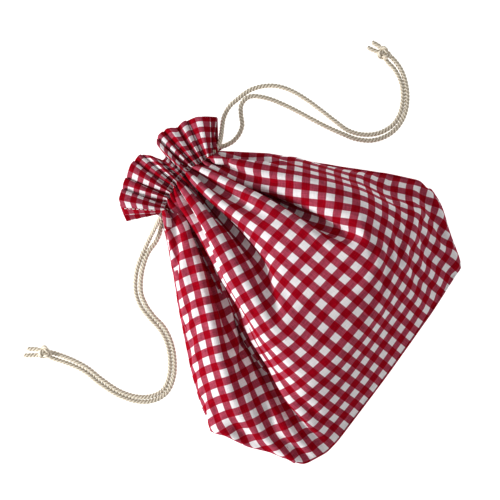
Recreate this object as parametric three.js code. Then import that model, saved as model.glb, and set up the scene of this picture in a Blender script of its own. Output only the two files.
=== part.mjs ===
import * as THREE from 'three';

// Drawstring gift pouch in check cotton, drawn closed and lying on its back.
// Millimetres, +Z up. The mouth points along +Y and the left cord leaves along -X.
// The origin is the centre of the pouch's own footprint, on the surface it lies on.
// Every solid below is placed from the neck, where both cords cross the pouch.

// Driving dimensions
const NECK_Y = 87;              // neck line, ahead of the origin
const NECK_HALF = 28;           // half the width of the gathered neck
const WIDEST_HALF = 127;        // half the body's width at its lower side corners
const FOOT_Y = -217;            // lowest point of the bottom edge, from the neck
const HEADER_HEIGHT = 42;       // neck line to the tips of the ruffle
const BODY_TOP = 62;            // height of the puffed body, at its fullest
const NECK_TOP = 20;            // height of the gathered neck
const CLOTH = 1;                // a cloth wall, one layer with its fuzz and slubs
const GAP = 0.3;                // clearance between pieces that touch
const CORD_RADIUS = 1.6;
const THREAD_RADIUS = 0.35;
const BASE_LEAF_DEPTH = 48;     // half of the base, which lies folded inside
const SEAM_WIDTH = 5;
const HEM_WIDTH = 2.7;

// Levels inside the neck: the back casing lies under the front casing
const BACK_PANEL_TOP = 0.8;
const RIM_LOW = BACK_PANEL_TOP + GAP;
const BACK_CASING_TOP = 9;
const FRONT_CASING_LOW = 10.2;
const CASING_LOW_Y = -7;
const CASING_HIGH_Y = 9;
const BACK_CHANNEL_Z = 5;
const FRONT_CHANNEL_Z = 13.5;
const CHANNEL_HALF_HEIGHT = 2.1;
const CHANNEL_HALF_DEPTH = 4.2;
const LEFT_CORD_Y = -2.2;       // the left cord runs on the body's side of the channel
const RIGHT_CORD_Y = 2.2;       // the right cord runs on the header's side
const FLOOR_CORD_Z = CORD_RADIUS + 0.1;

// The body's side edges: neck, widest corner, and where the folded base begins
const CORNER_AT = 0.7;          // share of each side edge above the widest corner
const SIDE_BOW = 7;             // the side edges bow out this far between the neck and the corner
const LEFT_EDGE = { neck: [-30, -8], corner: [-WIDEST_HALF, -143], foot: [-96, -211] };
const RIGHT_EDGE = { neck: [30, -8], corner: [WIDEST_HALF, -136], foot: [95, -194] };

// The tips of the ruffle from its left edge to its right edge, with a deep V between two fans
const HEADER_TIPS = [
  [-50, 17], [-45, 30], [-35, 36], [-20, 41.5], [-9, HEADER_HEIGHT], [-4, 34], [-1, 26],
  [2, 26], [4, 38], [9, 41.5], [18, 41], [30, 36], [40, 31], [46, 22],
];
const HEADER_LOW_Y = CASING_HIGH_Y + 0.4;
const HEADER_ROOT_HALF = 27;
const PLEATS = 9;

// Routes of the free cords from the neck to their knots, each point [x, y, z] from the neck
const LEFT_STRAND_A = [
  [-29.4, LEFT_CORD_Y, FRONT_CHANNEL_Z], [-33.2, LEFT_CORD_Y - 0.1, 13.4], [-37, -2.9, 12],
  [-43.5, -4.6, 7.8], [-51, -6.6, 3.8], [-60, -9.4, 2], [-70, -13, 1.7], [-80, -18.6, 1.7], [-89.6, -27.6, 1.7],
  [-94.6, -37.6, 1.7], [-96.6, -50, 1.7], [-97.4, -60, 1.7], [-101, -70.4, 1.7], [-108, -80.4, 1.7],
  [-118, -89.2, 1.7], [-129, -93.4, 1.7], [-139, -90.2, 1.7], [-147, -82, 1.7], [-152.6, -70, 1.7],
  [-155.4, -54, 1.7], [-156.6, -40, 1.7], [-160, -27.4, 1.7], [-163.8, -18, 1.9], [-166.4, -12.4, 2.6],
];
const LEFT_STRAND_B = [
  [-29.4, LEFT_CORD_Y, BACK_CHANNEL_Z], [-33.2, LEFT_CORD_Y - 0.3, 4.9], [-37, -4.8, 4.2],
  [-42.8, -9, 2.4], [-50, -11.8, 1.7], [-60, -13.2, 1.7], [-68.6, -16.6, 1.7], [-78, -22.4, 1.7],
  [-86.4, -30.2, 1.7], [-91, -39.6, 1.7], [-93.1, -50, 1.7], [-93.8, -61, 1.7], [-98, -72.4, 1.7],
  [-105.4, -83, 1.7], [-116.6, -92.8, 1.7], [-129, -97, 1.7], [-141, -93.4, 1.7], [-149.8, -84.4, 1.7],
  [-155.8, -71.4, 1.7], [-159, -55, 1.7], [-160.2, -40.6, 1.7], [-163.8, -28.6, 1.7], [-168, -19, 1.9],
  [-170, -13.8, 2.6],
];
const RIGHT_STRAND_A = [
  [29.4, RIGHT_CORD_Y, FRONT_CHANNEL_Z], [33.2, RIGHT_CORD_Y + 0.1, 13.4], [36.6, 3.5, 12],
  [41.6, 6.6, 7.6], [47, 10.6, 3.8], [53, 14.8, 2.1], [59, 17.2, 1.7], [65, 18.1, 1.7], [71, 17.4, 1.7],
  [77, 16.7, 1.7], [83.6, 15, 1.7], [91, 10.8, 1.7], [98.6, 3.4, 1.7], [104, -7, 1.7], [107.2, -20, 1.7],
  [109, -34, 1.7], [110.4, -48, 1.7], [112, -60, 1.7], [116.6, -69.5, 1.7], [124, -77.2, 1.7],
  [132, -81.2, 1.7], [140, -82.4, 1.7], [150, -79.8, 1.7], [160, -72.6, 1.7], [166.4, -64.6, 1.7],
  [170.2, -54.6, 1.8], [171, -45, 2.6],
];
const RIGHT_STRAND_B = [
  [29.4, RIGHT_CORD_Y, BACK_CHANNEL_Z], [33.2, RIGHT_CORD_Y - 0.1, 4.9], [36.4, 1.3, 4.2],
  [40.6, -0.7, 2.9], [46, -2.2, 1.9], [53, -1.8, 1.7], [59.6, 1.2, 1.7], [64.6, 7.2, 1.7], [70, 12.1, 1.7],
  [76, 13, 1.7], [80.6, 11, 1.7], [85, 5.6, 1.7], [89, -1.6, 1.7], [92.4, -10.4, 1.7], [95.6, -20.6, 1.7],
  [99.2, -34, 1.7], [102.6, -46, 1.7], [106.8, -58, 1.7], [111.6, -69.6, 1.7], [119.4, -79.4, 1.7],
  [130, -85, 1.7], [140, -86.2, 1.7], [151, -83.4, 1.7], [161, -76.6, 1.7], [169, -67.2, 1.7],
  [174, -57, 1.8], [175.4, -45.2, 2.6],
];

// Each knot's centre, and the start and end of the two loose ends beyond it
const LEFT_KNOT = {
  centre: [-170.5, -8, 3.7],
  end_a: [[-172.4, -2.6], [-177.6, 3.4]],
  end_b: [[-176, -5.4], [-183, 1.8]],
};
const RIGHT_KNOT = {
  centre: [173.8, -39.5, 3.7],
  end_a: [[170.6, -34.6], [168.4, -27.6]],
  end_b: [[175.6, -34], [173.8, -27.4]],
};
const KNOT_RADII = [5, 4.8, 3.6];

const model = new THREE.Group();
model.position.y = NECK_Y;

const GINGHAM = { color: 0xb8223f, roughness: 0.92 };
const HIDDEN_GINGHAM = { color: 0x9c1c36, roughness: 0.92 };
const CORD = { color: 0xe9e0cf, roughness: 0.85 };
const THREAD = { color: 0x8f1230, roughness: 0.7 };

function add(name, geometry, finish) {
  const mesh = new THREE.Mesh(geometry, new THREE.MeshStandardMaterial({ ...finish, metalness: 0 }));
  mesh.name = name;
  model.add(mesh);
  return mesh;
}

function mix(a, b, share) {
  return a + (b - a) * share;
}

function between(a, b, share) {
  return [mix(a[0], b[0], share), mix(a[1], b[1], share)];
}

// Six times the enclosed volume, negative where the faces point in
function signedVolume(points, triangles) {
  let sum = 0;
  for (let i = 0; i < triangles.length; i += 3) {
    const [a, b, c] = [points[triangles[i]], points[triangles[i + 1]], points[triangles[i + 2]]];
    sum += a.dot(new THREE.Vector3().crossVectors(b, c));
  }
  return sum;
}

// A closed sheet of cloth. surface(s, t) gives [x, y, z of the upper face, z of the lower face],
// with s and t from 0 to 1 across and along it.
function sheet(surface, columns, rows) {
  const points = [];
  for (const face of [2, 3]) {
    for (let j = 0; j <= rows; j += 1) {
      for (let i = 0; i <= columns; i += 1) {
        const at = surface(i / columns, j / rows);
        points.push(new THREE.Vector3(at[0], at[1], at[face]));
      }
    }
  }
  const below = (columns + 1) * (rows + 1);
  const index = (i, j) => j * (columns + 1) + i;
  const triangles = [];
  const quad = (a, b, c, d) => triangles.push(a, b, c, a, c, d);
  for (let j = 0; j < rows; j += 1) {
    for (let i = 0; i < columns; i += 1) {
      const [a, b, c, d] = [index(i, j), index(i + 1, j), index(i + 1, j + 1), index(i, j + 1)];
      quad(a, b, c, d);
      quad(below + d, below + c, below + b, below + a);
    }
  }
  for (let i = 0; i < columns; i += 1) {
    quad(index(i + 1, 0), index(i, 0), below + index(i, 0), below + index(i + 1, 0));
    quad(index(i, rows), index(i + 1, rows), below + index(i + 1, rows), below + index(i, rows));
  }
  for (let j = 0; j < rows; j += 1) {
    quad(index(0, j), index(0, j + 1), below + index(0, j + 1), below + index(0, j));
    quad(index(columns, j + 1), index(columns, j), below + index(columns, j), below + index(columns, j + 1));
  }
  if (signedVolume(points, triangles) < 0) {
    triangles.reverse();
  }
  const geometry = new THREE.BufferGeometry().setFromPoints(points);
  geometry.setIndex(triangles);
  geometry.computeVertexNormals();
  return geometry;
}

// A solid round tube through the points, with flat ends
function tube(points, radius, steps, sides = 8) {
  const curve = new THREE.CatmullRomCurve3(points.map((p) => new THREE.Vector3(...p)), false, 'centripetal');
  const section = new THREE.Shape();
  for (let k = 0; k < sides; k += 1) {
    const angle = (2 * Math.PI * k) / sides;
    const corner = [radius * Math.cos(angle), radius * Math.sin(angle)];
    if (k === 0) {
      section.moveTo(...corner);
    } else {
      section.lineTo(...corner);
    }
  }
  section.closePath();
  return new THREE.ExtrudeGeometry(section, { steps, bevelEnabled: false, extrudePath: curve });
}

// ---- body ----

function edgePoint(edge, t) {
  if (t >= CORNER_AT) {
    return between(edge.corner, edge.foot, (t - CORNER_AT) / (1 - CORNER_AT));
  }
  const [alongX, alongY] = [edge.corner[0] - edge.neck[0], edge.corner[1] - edge.neck[1]];
  const bow = (SIDE_BOW * Math.sin((Math.PI * t) / CORNER_AT)) / Math.hypot(alongX, alongY);
  const [x, y] = between(edge.neck, edge.corner, t / CORNER_AT);
  return [x - Math.sign(alongX) * alongY * bow, y + Math.abs(alongX) * bow];
}

// The body's plan: s runs from the left edge to the right, t from the neck to the bottom edge
function bodyPlan(s, t) {
  const bottomBulge = -8.8 * Math.sin(Math.PI * s ** 0.6) * t ** 6;
  const [x, y] = between(edgePoint(LEFT_EDGE, t), edgePoint(RIGHT_EDGE, t), s);
  return [x, Math.max(y + bottomBulge, FOOT_Y)];
}

// Height of the puffed front, fullest at the lower right, with the folds that fan out from the neck
function frontHeight(s, t) {
  const rise = Math.sin((Math.PI / 2) * Math.min(t / 0.55, 1));
  const fall = Math.max((t - 0.66) / 0.34, 0) ** 1.5;
  const lean = mix(1, Math.min(0.4 + 0.9 * s, 1), rise);
  const crown = mix(mix(NECK_TOP - 3, (BODY_TOP - 2) * lean, rise), 5, fall);
  const across = Math.sqrt(Math.max(1 - Math.abs(2 * s - 1) ** 3, 0));
  const folds = 3 * (1 - t) * across * Math.cos(5 * 2 * Math.PI * (s - 0.5));
  return RIM_LOW + CLOTH + crown * across + folds;
}

function addPanels() {
  add('front_panel', sheet((s, t) => {
    const [x, y] = bodyPlan(s, t);
    const top = frontHeight(s, t);
    return [x, y, top, top - CLOTH];
  }, 20, 20), GINGHAM);
  add('back_panel', sheet((s, t) => [...bodyPlan(s, t), BACK_PANEL_TOP, 0], 10, 10), GINGHAM);
}

// The base is folded in half and tucked up inside the bottom edge
const LEAF_LEFT = 0.07;
const LEAF_RIGHT = 0.93;
const SEAM_RIDGE_Z = 10;

// A point of the folded base: s along the bottom edge, inward in millimetres from it
function basePlan(s, inward) {
  const [x, y] = bodyPlan(mix(LEAF_LEFT, LEAF_RIGHT, s), 1);
  return [x, y + 4 + inward];
}

function addBase() {
  const leaf = (outerZ, innerZ) => (s, t) => {
    const z = mix(outerZ, innerZ, t);
    return [...basePlan(s, t * BASE_LEAF_DEPTH), z + BACK_PANEL_TOP, z];
  };
  add('front_base_leaf', sheet(leaf(3.4, SEAM_RIDGE_Z + 1), 10, 4), HIDDEN_GINGHAM);
  add('back_base_leaf', sheet(leaf(RIM_LOW, SEAM_RIDGE_Z - 0.5), 10, 4), HIDDEN_GINGHAM);
  add('bottom_seam', sheet((s, t) => {
    const inward = BASE_LEAF_DEPTH + GAP + t * SEAM_WIDTH;
    return [...basePlan(s, inward), SEAM_RIDGE_Z + 1.2, SEAM_RIDGE_Z - 0.4];
  }, 10, 1), THREAD);
}

// The seams that square the base's corners stand along the short ends of its leaves
function addCornerSeams() {
  for (const [name, end, outward] of [['left_corner_seam', 0, -1], ['right_corner_seam', 1, 1]]) {
    add(name, sheet((s, t) => {
      const [x, y] = basePlan(end, 6 + t * (BASE_LEAF_DEPTH - 6));
      const low = mix(RIM_LOW, SEAM_RIDGE_Z - 1, t);
      return [x + outward * (GAP + 3 * s), y, low + 1.4, low];
    }, 1, 4), THREAD);
  }
}

// The side seams' turned-in edges lie flat on the back panel, just inside the body's edge
function addSideSeams() {
  const seamTop = CORNER_AT - 0.02;
  for (const [name, from, to] of [['left_side_seam', 4, 9], ['right_side_seam', -9, -4]]) {
    const s0 = from > 0 ? 0 : 1;
    add(name, sheet((s, t) => {
      const [x, y] = bodyPlan(s0, mix(0.12, seamTop, t));
      return [x + mix(from, to, s), y, RIM_LOW + 1.2, RIM_LOW];
    }, 1, 8), THREAD);
  }
}

// ---- neck ----

// A gathered casing: a sleeve along X whose channel holds both cords
function casing(low, high, channelZ) {
  const outline = new THREE.Shape();
  const round = 3;
  outline.moveTo(CASING_LOW_Y + round, low);
  outline.lineTo(CASING_HIGH_Y - round, low);
  outline.lineTo(CASING_HIGH_Y, low + round);
  outline.lineTo(CASING_HIGH_Y, high - round);
  outline.lineTo(CASING_HIGH_Y - round, high);
  outline.lineTo(CASING_LOW_Y + round, high);
  outline.lineTo(CASING_LOW_Y, high - round);
  outline.lineTo(CASING_LOW_Y, low + round);
  outline.closePath();
  const channel = new THREE.Path();
  channel.moveTo(-CHANNEL_HALF_DEPTH, channelZ - CHANNEL_HALF_HEIGHT);
  channel.lineTo(CHANNEL_HALF_DEPTH, channelZ - CHANNEL_HALF_HEIGHT);
  channel.lineTo(CHANNEL_HALF_DEPTH, channelZ + CHANNEL_HALF_HEIGHT);
  channel.lineTo(-CHANNEL_HALF_DEPTH, channelZ + CHANNEL_HALF_HEIGHT);
  channel.closePath();
  outline.holes.push(channel);
  const geometry = new THREE.ExtrudeGeometry(outline, { depth: 2 * NECK_HALF, steps: 1, bevelEnabled: false });
  const alongX = new THREE.Matrix4().makeBasis(
    new THREE.Vector3(0, 1, 0), new THREE.Vector3(0, 0, 1), new THREE.Vector3(1, 0, 0));
  geometry.applyMatrix4(alongX);
  geometry.translate(-NECK_HALF, 0, 0);
  return geometry;
}

// A row of stitches across the neck: the thread dips between the gathers
function stitchRow(y, z) {
  const points = [];
  const dips = 14;
  for (let k = 0; k <= dips; k += 1) {
    const x = mix(-NECK_HALF + 1, NECK_HALF - 1, k / dips);
    points.push([x, y + (k % 2 === 0 ? 0.5 : -0.5), z]);
  }
  return tube(points, THREAD_RADIUS, dips, 5);
}

function addNeck() {
  add('front_casing', casing(FRONT_CASING_LOW, NECK_TOP, FRONT_CHANNEL_Z), GINGHAM);
  add('back_casing', casing(0, BACK_CASING_TOP, BACK_CHANNEL_Z), GINGHAM);
  const onFront = NECK_TOP + THREAD_RADIUS + 0.1;
  const onBack = BACK_CASING_TOP + THREAD_RADIUS + 0.1;
  add('front_casing_upper_stitching', stitchRow(CASING_HIGH_Y - 4, onFront), THREAD);
  add('front_casing_lower_stitching', stitchRow(CASING_LOW_Y + 4, onFront), THREAD);
  add('back_casing_upper_stitching', stitchRow(CASING_HIGH_Y - 4, onBack), THREAD);
  add('back_casing_lower_stitching', stitchRow(CASING_LOW_Y + 4, onBack), THREAD);
}

// ---- header ruffle ----

function alongPolyline(points, share) {
  const lengths = [0];
  for (let i = 1; i < points.length; i += 1) {
    const [a, b] = [points[i - 1], points[i]];
    lengths.push(lengths[i - 1] + Math.hypot(b[0] - a[0], b[1] - a[1]));
  }
  const wanted = share * lengths[lengths.length - 1];
  let i = 1;
  while (i < points.length - 1 && lengths[i] < wanted) {
    i += 1;
  }
  return between(points[i - 1], points[i], (wanted - lengths[i - 1]) / (lengths[i] - lengths[i - 1]));
}

// The back ruffle spreads a little lower at its sides than the front one
function backTips() {
  return HEADER_TIPS.map(([x, y]) => [x * 0.98, y - 3.5 * (x / 50) ** 2]);
}

const FRONT_RUFFLE = { tips: HEADER_TIPS, rootZ: NECK_TOP - 2, tipZ: 15.2 };
const BACK_RUFFLE = { tips: backTips(), rootZ: 4.5, tipZ: 4.9 };

// s runs across the ruffle, t from its gathered root to its tips
function rufflePlan(ruffle, s, t) {
  const root = [mix(-HEADER_ROOT_HALF, HEADER_ROOT_HALF, s), HEADER_LOW_Y];
  return between(root, alongPolyline(ruffle.tips, s), t);
}

function ruffleHeight(ruffle, s, t) {
  const wave = Math.cos(PLEATS * 2 * Math.PI * s);
  return mix(ruffle.rootZ, ruffle.tipZ, t) - mix(0.8, 3.8, t) * wave;
}

function ruffle(shape) {
  return sheet((s, t) => {
    const middle = ruffleHeight(shape, s, t);
    return [...rufflePlan(shape, s, t), middle + CLOTH / 2, middle - CLOTH / 2];
  }, 4 * PLEATS, 4);
}

// The hem along a side edge of a ruffle, with its own row of stitches on top
function addHem(name, shape, side) {
  const s0 = side < 0 ? 0 : 1;
  const root = rufflePlan(shape, s0, 0);
  const tip = rufflePlan(shape, s0, 1);
  const length = Math.hypot(tip[0] - root[0], tip[1] - root[1]);
  const outward = [(side * (tip[1] - root[1])) / length, (-side * (tip[0] - root[0])) / length];
  const place = (t, offset) => {
    const [x, y] = rufflePlan(shape, s0, t);
    return [x + outward[0] * offset, y + outward[1] * offset];
  };
  const start = 0.22;
  add(`${name}_hem`, sheet((s, t) => {
    const along = mix(start, 1, t);
    const middle = ruffleHeight(shape, s0, along);
    return [...place(along, GAP + HEM_WIDTH * s), middle + 0.8, middle - 0.7];
  }, 1, 4), GINGHAM);
  const thread = [];
  for (let k = 0; k <= 6; k += 1) {
    const along = mix(start + 0.04, 0.96, k / 6);
    thread.push([...place(along, GAP + HEM_WIDTH / 2), ruffleHeight(shape, s0, along) + 0.95 + THREAD_RADIUS]);
  }
  add(`${name}_hem_stitching`, tube(thread, THREAD_RADIUS, 6, 5), THREAD);
}

function addHeader() {
  add('front_header', ruffle(FRONT_RUFFLE), GINGHAM);
  add('back_header', ruffle(BACK_RUFFLE), GINGHAM);
  for (const [half, shape] of [['front', FRONT_RUFFLE], ['back', BACK_RUFFLE]]) {
    addHem(`${half}_header_left`, shape, -1);
    addHem(`${half}_header_right`, shape, 1);
  }
}

// ---- cords ----

// The hidden run of a cord: through the front casing, round the far slit, back through the back casing
function innerLoop(side, y) {
  const points = [];
  const bendRadius = (FRONT_CHANNEL_Z - BACK_CHANNEL_Z) / 2;
  const bendX = NECK_HALF + 2 * CLOTH;
  for (const x of [29, 15, 0, -15, -26]) {
    points.push([side * x, y, FRONT_CHANNEL_Z]);
  }
  for (let k = 0; k <= 6; k += 1) {
    const angle = (Math.PI * k) / 6;
    points.push([
      -side * (bendX + bendRadius * Math.sin(angle)), y,
      BACK_CHANNEL_Z + bendRadius + bendRadius * Math.cos(angle),
    ]);
  }
  for (const x of [-26, -15, 0, 15, 29]) {
    points.push([side * x, y, BACK_CHANNEL_Z]);
  }
  return tube(points, CORD_RADIUS, 30);
}

function knot({ centre }) {
  const profile = [];
  const steps = 6;
  for (let k = 0; k <= steps; k += 1) {
    const angle = -Math.PI / 2 + (Math.PI * k) / steps;
    profile.push(new THREE.Vector2(k % steps === 0 ? 0 : Math.cos(angle), Math.sin(angle)));
  }
  const geometry = new THREE.LatheGeometry(profile, 12);
  geometry.rotateX(Math.PI / 2);
  geometry.scale(...KNOT_RADII);
  geometry.translate(...centre);
  return geometry;
}

// A short loose end, from just outside the knot to the cut end of the cord
function looseEnd([from, to]) {
  return tube([[...from, 2.6], [...between(from, to, 0.5), 2], [...to, FLOOR_CORD_Z]], CORD_RADIUS, 4);
}

function addCord(name, side, y, strandA, strandB, knotPlace) {
  add(`${name}_inner_loop`, innerLoop(side, y), CORD);
  add(`${name}_strand_a`, tube(strandA, CORD_RADIUS, 50), CORD);
  add(`${name}_strand_b`, tube(strandB, CORD_RADIUS, 50), CORD);
  add(`${name}_knot`, knot(knotPlace), CORD);
  add(`${name}_end_a`, looseEnd(knotPlace.end_a), CORD);
  add(`${name}_end_b`, looseEnd(knotPlace.end_b), CORD);
}

addPanels();
addBase();
addCornerSeams();
addSideSeams();
addNeck();
addHeader();
addCord('left_cord', -1, LEFT_CORD_Y, LEFT_STRAND_A, LEFT_STRAND_B, LEFT_KNOT);
addCord('right_cord', 1, RIGHT_CORD_Y, RIGHT_STRAND_A, RIGHT_STRAND_B, RIGHT_KNOT);

export default model;
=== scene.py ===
"""Drawstring gift pouch in red gingham, lying on its back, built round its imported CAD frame.

Lengths are in millimetres in the pouch's own frame until a mesh is made: x to the right, y towards the
mouth, z up, from the middle of the neck at table height. Cloth coordinates are u across and v up from
the bottom crease, measured on the flat cloth.
"""
import math

import bpy
import numpy as np
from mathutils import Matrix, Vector


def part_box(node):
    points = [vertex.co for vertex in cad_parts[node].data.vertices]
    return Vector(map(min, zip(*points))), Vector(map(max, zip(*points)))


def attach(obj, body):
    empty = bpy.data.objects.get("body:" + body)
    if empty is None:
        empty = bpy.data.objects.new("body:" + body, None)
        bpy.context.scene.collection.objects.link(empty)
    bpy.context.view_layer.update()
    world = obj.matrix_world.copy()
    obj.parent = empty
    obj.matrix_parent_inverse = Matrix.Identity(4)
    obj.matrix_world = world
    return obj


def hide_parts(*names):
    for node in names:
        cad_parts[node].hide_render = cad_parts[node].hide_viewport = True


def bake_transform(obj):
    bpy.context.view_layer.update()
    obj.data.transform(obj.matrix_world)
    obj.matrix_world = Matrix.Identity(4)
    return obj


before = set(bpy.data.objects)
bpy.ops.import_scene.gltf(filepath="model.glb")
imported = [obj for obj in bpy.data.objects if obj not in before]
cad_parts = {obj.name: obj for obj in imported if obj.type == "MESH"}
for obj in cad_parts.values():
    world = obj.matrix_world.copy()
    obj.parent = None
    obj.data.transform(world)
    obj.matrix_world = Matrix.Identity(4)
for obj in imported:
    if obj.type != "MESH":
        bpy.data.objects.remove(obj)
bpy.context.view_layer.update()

MM = 0.001
CASING_FRONT_Y = 7.0            # the neck line lies this far inside the casing's lower edge
NECK_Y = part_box("front_casing")[0].y / MM + CASING_FRONT_Y

# The cloth is counted in cells of half a check
CHECK = 6.35
CELL = CHECK / 2
SEAM_CELLS = 51                 # from the middle to either side seam
CORD_CELLS = 73                 # from the bottom crease up to the cord line
HEADER_CELLS = 15               # from the cord line up to the tips of the ruffle
CORNER_CELLS = {-1: 33, 1: 35}  # from the middle to where each folded corner starts on the crease
HALF_WIDTH = SEAM_CELLS * CELL
CORD_LINE = CORD_CELLS * CELL
CLOTH_LENGTH = (CORD_CELLS + HEADER_CELLS) * CELL
CLOTH_THICKNESS = 0.5
SIDES = {"left": -1, "right": 1}

NECK_HALF = 30.0                # half the gathered neck's width
NECK_ARCH = 12.0                # its middle lies this much nearer the mouth than its ends
NECK_END_Y = -4.0

CORD_LAY = 8.0                  # one full twist takes up this much of the cord
ROPE_RADIUS = 1.9               # out to the crests of the three strands


def place(points):
    """Points of the pouch's own frame, in metres in the row frame."""
    return (np.asarray(points, float) + (0.0, NECK_Y, 0.0)) * MM


def smoothstep(low, high, value):
    t = np.clip((value - low) / (high - low), 0.0, 1.0)
    return t * t * (3 - 2 * t)


def link_object(name, data):
    made = bpy.data.objects.new(name, data)
    bpy.context.scene.collection.objects.link(made)
    return made


# ---------------------------------------------------------------- camera

CAMERA_CENTRE = (-5.8, -68.6)
CAMERA_TURN = math.radians(-46.7)
CAMERA_HEIGHT = 1500.0
VIEW_WIDTH = 382.5
SENSOR_WIDTH = 36.0


def add_camera():
    """Looks straight down, with the pouch's mouth towards the upper left."""
    data = bpy.data.cameras.new("camera")
    data.sensor_width = SENSOR_WIDTH
    data.lens = SENSOR_WIDTH * CAMERA_HEIGHT / VIEW_WIDTH
    data.clip_end = 20.0
    camera = link_object("camera", data)
    camera.location = place((*CAMERA_CENTRE, CAMERA_HEIGHT))
    camera.rotation_euler = (0.0, 0.0, CAMERA_TURN)
    bpy.context.scene.camera = camera


# ---------------------------------------------------------------- pieces


def dress(piece, slot, *nodes, body="pouch", lifts=False):
    """Puts a piece on its body, or bakes its place into its mesh if it lifts, in place of the CAD nodes that
    it stands for, which are hidden.
    """
    if lifts:
        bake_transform(piece)
    else:
        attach(piece, body)
    if nodes:
        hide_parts(*nodes)


def make_object(name, points, faces, material, **vectors):
    """A mesh object from points in the pouch's frame. vectors are attributes of its points."""
    mesh = bpy.data.meshes.new(name)
    mesh.from_pydata(place(points).tolist(), [], faces)
    for key, values in vectors.items():
        attribute = mesh.attributes.new(key, "FLOAT_VECTOR", "POINT")
        attribute.data.foreach_set("vector", np.asarray(values, np.float32).ravel())
    mesh.polygons.foreach_set("use_smooth", [True] * len(mesh.polygons))
    mesh.materials.append(material)
    return link_object(name, mesh)


def between(first, last, start, end, t):
    """Where t falls on the straight run that is at first when t is start, and at last when t is end."""
    return (end - t) / (end - start) * first + (t - start) / (end - start) * last


def catmull_rom(points, step):
    """A smooth line through the points, with about one sample every step."""
    points = np.asarray(points, float)
    ends = np.vstack([2 * points[0] - points[1], points, 2 * points[-1] - points[-2]])
    line = []
    for k in range(1, len(ends) - 2):
        p = ends[k - 1:k + 3]
        gaps = np.linalg.norm(np.diff(p, axis=0), axis=1)
        at = np.concatenate([[0.0], np.cumsum(np.maximum(gaps, 1e-6) ** 0.5)])
        count = max(int(np.ceil(gaps[1] / step)), 1)
        for t in np.linspace(at[1], at[2], count, endpoint=False):
            a = [between(p[n], p[n + 1], at[n], at[n + 1], t) for n in range(3)]
            b = [between(a[n], a[n + 1], at[n], at[n + 2], t) for n in range(2)]
            line.append(between(b[0], b[1], at[1], at[2], t))
    line.append(points[-1])
    return np.array(line)


def travelled(line):
    """How far along the line each of its points is."""
    return np.concatenate([[0.0], np.cumsum(np.linalg.norm(np.diff(line, axis=0), axis=1))])


def carried_frames(line):
    """Two unit vectors across the line at each point, carried along it without twisting."""
    along = np.gradient(line, axis=0)
    along /= np.linalg.norm(along, axis=1)[:, None]
    across = np.zeros_like(line)
    first = np.cross(along[0], (0.0, 0.0, 1.0))
    across[0] = first / np.linalg.norm(first)
    for k in range(1, len(line)):
        side = across[k - 1] - along[k] * np.dot(across[k - 1], along[k])
        across[k] = side / np.linalg.norm(side)
    return across, np.cross(along, across)


def level_axes(heading):
    """A level unit vector along the heading, and another across it to the left."""
    along = np.array([math.cos(heading), math.sin(heading), 0.0])
    return along, np.array([-along[1], along[0], 0.0])


# ---------------------------------------------------------------- cords

STRAND_COUNT = 3
STRAND_RADIUS_SHARE = 0.53      # of the cord's radius; the three strands meet at its middle
ROPE_SIDES = 24
ROPE_STEP = 0.55
FRAY_LENGTH = 1.5               # a cut end narrows over this much of the cord
FRAY_SHARE = 0.25


def lobed_radius(angle):
    """The outline of three round strands side by side, as a share of the cord's radius."""
    lobe = 2 * math.pi / STRAND_COUNT
    off = (angle + lobe / 2) % lobe - lobe / 2
    centre = 1 - STRAND_RADIUS_SHARE
    return centre * np.cos(off) + np.sqrt(STRAND_RADIUS_SHARE ** 2 - (centre * np.sin(off)) ** 2)


def rope(name, line, material, cut_end=False):
    """A three-strand twisted cord along a fine line."""
    across, up = carried_frames(line)
    distance = travelled(line)
    angles = np.arange(ROPE_SIDES) * 2 * math.pi / ROPE_SIDES
    turned = angles[None, :] + (2 * math.pi * distance / CORD_LAY)[:, None]
    share = lobed_radius(turned)
    reach = ROPE_RADIUS * share
    if cut_end:
        whole = np.clip((distance[-1] - distance) / FRAY_LENGTH, 0.0, 1.0) ** 0.5
        reach = reach * (1 - FRAY_SHARE + FRAY_SHARE * whole)[:, None]
    points = (line[:, None, :] + across[:, None, :] * (reach * np.cos(angles))[..., None]
              + up[:, None, :] * (reach * np.sin(angles))[..., None])
    faces = []
    for k in range(len(line) - 1):
        row = k * ROPE_SIDES
        for j in range(ROPE_SIDES):
            n = (j + 1) % ROPE_SIDES
            faces.append((row + j, row + n, row + ROPE_SIDES + n, row + ROPE_SIDES + j))
    faces.append(tuple(range(ROPE_SIDES))[::-1])
    faces.append(tuple((len(line) - 1) * ROPE_SIDES + j for j in range(ROPE_SIDES)))
    lowest = lobed_radius(np.array([math.pi / STRAND_COUNT]))[0]
    # how deep each point lies in a groove between strands; the cord's material paints shade there
    groove = 1 - (share - lowest) / (1 - lowest)
    fibre = np.stack([np.repeat(distance, ROPE_SIDES), turned.ravel(), groove.ravel()], axis=1)
    return make_object(name, points.reshape(-1, 3), faces, material, fibre=fibre)


# The routes that the CAD cords follow, each from the neck to its knot
LEFT_CORD_Y, RIGHT_CORD_Y = -2.2, 2.2
FRONT_CHANNEL_Z, BACK_CHANNEL_Z = 13.5, 5.0
LEFT_STRAND_A = [
    (-29.4, LEFT_CORD_Y, FRONT_CHANNEL_Z), (-33.2, LEFT_CORD_Y - 0.1, 13.4), (-37, -2.9, 12),
    (-43.5, -4.6, 7.8), (-51, -6.6, 3.8), (-60, -9.4, 2), (-70, -13, 1.7), (-80, -18.6, 1.7),
    (-89.6, -27.6, 1.7), (-94.6, -37.6, 1.7), (-96.6, -50, 1.7), (-97.4, -60, 1.7), (-101, -70.4, 1.7),
    (-108, -80.4, 1.7), (-118, -89.2, 1.7), (-129, -93.4, 1.7), (-139, -90.2, 1.7), (-147, -82, 1.7),
    (-152.6, -70, 1.7), (-155.4, -54, 1.7), (-156.6, -40, 1.7), (-160, -27.4, 1.7), (-163.8, -18, 1.9),
    (-166.4, -12.4, 2.6),
]
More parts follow.
